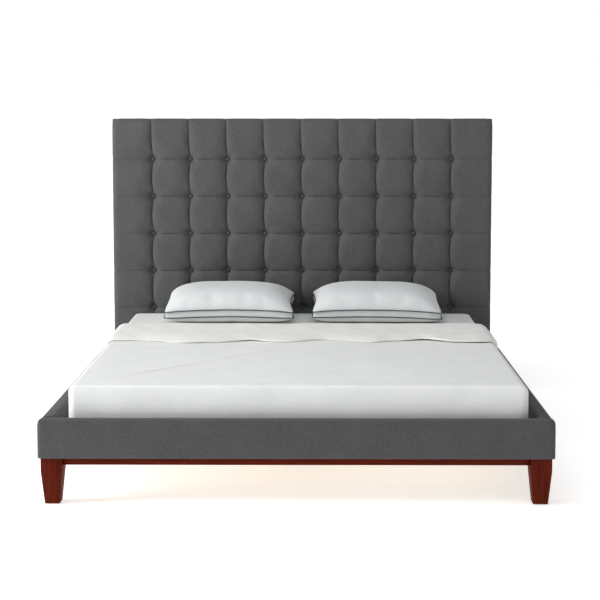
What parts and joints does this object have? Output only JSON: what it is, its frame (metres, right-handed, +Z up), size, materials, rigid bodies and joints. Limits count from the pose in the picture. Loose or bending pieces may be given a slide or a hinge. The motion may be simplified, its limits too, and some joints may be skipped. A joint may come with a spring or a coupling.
{
  "type": "upholstered headboard bed",
  "caption": "Low upholstered bed with a tall square-tufted headboard, padded rails, tapered wooden legs, a slatted deck, and a mattress with duvet and pillows.",
  "frame": {"origin": "on the floor, under the middle of the whole bed", "axes": "+X to the right seen from the foot, +Y from the foot to the headboard, +Z up"},
  "size_m": [2.12, 2.24, 1.565],
  "materials": {
    "charcoal_weave": "plain-woven polyester upholstery, charcoal grey",
    "charcoal_buttons": "buttons covered in the same charcoal weave",
    "polyether_foam": "cut polyether foam",
    "black_dust_cloth": "black non-woven dust cloth",
    "tufting_twine": "waxed polyester twine",
    "plywood": "unfinished poplar plywood",
    "pine_timber": "planed pine, unfinished",
    "pine_slat": "planed pine slats, unfinished",
    "cherry_stained_wood": "hardwood with a red-brown stain under satin lacquer",
    "black_painted_wood": "black painted timber",
    "black_leveller": "black zinc steel stud and pad",
    "zinc_steel": "zinc-plated steel",
    "nylon_glide": "moulded nylon",
    "mattress_sheet": "white cotton fitted sheet over the mattress",
    "duvet_cotton": "white cotton percale with a thin fill",
    "sheet_cotton": "warm white brushed cotton top sheet",
    "pillow_cotton": "white cotton with charcoal piping round the gusset"
  },
  "bodies": {
    "frame": {"headboard_panel": "plywood", "headboard_stile_left": "pine_timber", "headboard_stile_right": "pine_timber", "headboard_top_rail": "pine_timber", "headboard_middle_rail": "pine_timber", "headboard_bottom_rail": "pine_timber", "headboard_foam": "polyether_foam", "headboard_cover": "charcoal_weave", "headboard_back_cloth": "black_dust_cloth", "tufting_buttons": "charcoal_buttons", "button_twines": "tufting_twine", "twine_staples": "zinc_steel", "foot_rail_core": "pine_timber", "foot_rail_foam": "polyether_foam", "foot_rail_cover": "charcoal_weave", "left_rail_core": "pine_timber", "left_rail_foam": "polyether_foam", "left_rail_cover": "charcoal_weave", "right_rail_core": "pine_timber", "right_rail_foam": "polyether_foam", "right_rail_cover": "charcoal_weave", "left_ledger": "pine_timber", "right_ledger": "pine_timber", "frame_screws": "zinc_steel", "front_apron": "cherry_stained_wood", "left_apron": "cherry_stained_wood", "right_apron": "cherry_stained_wood", "leg_front_left": "cherry_stained_wood", "leg_front_right": "cherry_stained_wood", "leg_rear_left": "cherry_stained_wood", "leg_rear_right": "cherry_stained_wood", "leg_bolts": "zinc_steel", "leg_glides": "nylon_glide", "corner_brackets": "zinc_steel", "bracket_bolts": "zinc_steel", "headboard_bolts": "zinc_steel", "center_beam": "pine_timber", "beam_hangers": "zinc_steel", "center_leg_front": "black_painted_wood", "center_leg_rear": "black_painted_wood", "slat_screws": "zinc_steel", "slat_01": "pine_slat", "slat_02": "pine_slat", "slat_03": "pine_slat", "slat_04": "pine_slat", "slat_05": "pine_slat", "slat_06": "pine_slat", "slat_07": "pine_slat", "slat_08": "pine_slat", "slat_09": "pine_slat", "slat_10": "pine_slat", "slat_11": "pine_slat", "slat_12": "pine_slat"},
    "mattress": {"mattress": "mattress_sheet"},
    "duvet": {"duvet": "duvet_cotton", "top_sheet": "sheet_cotton"},
    "pillow_left": {"pillow_left": "pillow_cotton"},
    "pillow_right": {"pillow_right": "pillow_cotton"},
    "leveller_front": {"leveller_front": "black_leveller"},
    "leveller_rear": {"leveller_rear": "black_leveller"}
  },
  "joints": [
    {"name": "mattress_lift", "type": "slide", "parent": "frame", "child": "mattress", "axis": [0, 0, 1], "range_m": [0, 0.3]},
    {"name": "duvet_lift", "type": "slide", "parent": "mattress", "child": "duvet", "axis": [0, 0, 1], "range_m": [0, 0.3]},
    {"name": "pillow_left_lift", "type": "slide", "parent": "mattress", "child": "pillow_left", "axis": [0, 0, 1], "range_m": [0, 0.3]},
    {"name": "pillow_right_lift", "type": "slide", "parent": "mattress", "child": "pillow_right", "axis": [0, 0, 1], "range_m": [0, 0.3]},
    {"name": "leveller_front_screw", "type": "slide", "parent": "frame", "child": "leveller_front", "axis": [0, 0, 1], "range_m": [0, 0.0088]},
    {"name": "leveller_rear_screw", "type": "slide", "parent": "frame", "child": "leveller_rear", "axis": [0, 0, 1], "range_m": [0, 0.0088]}
  ]
}
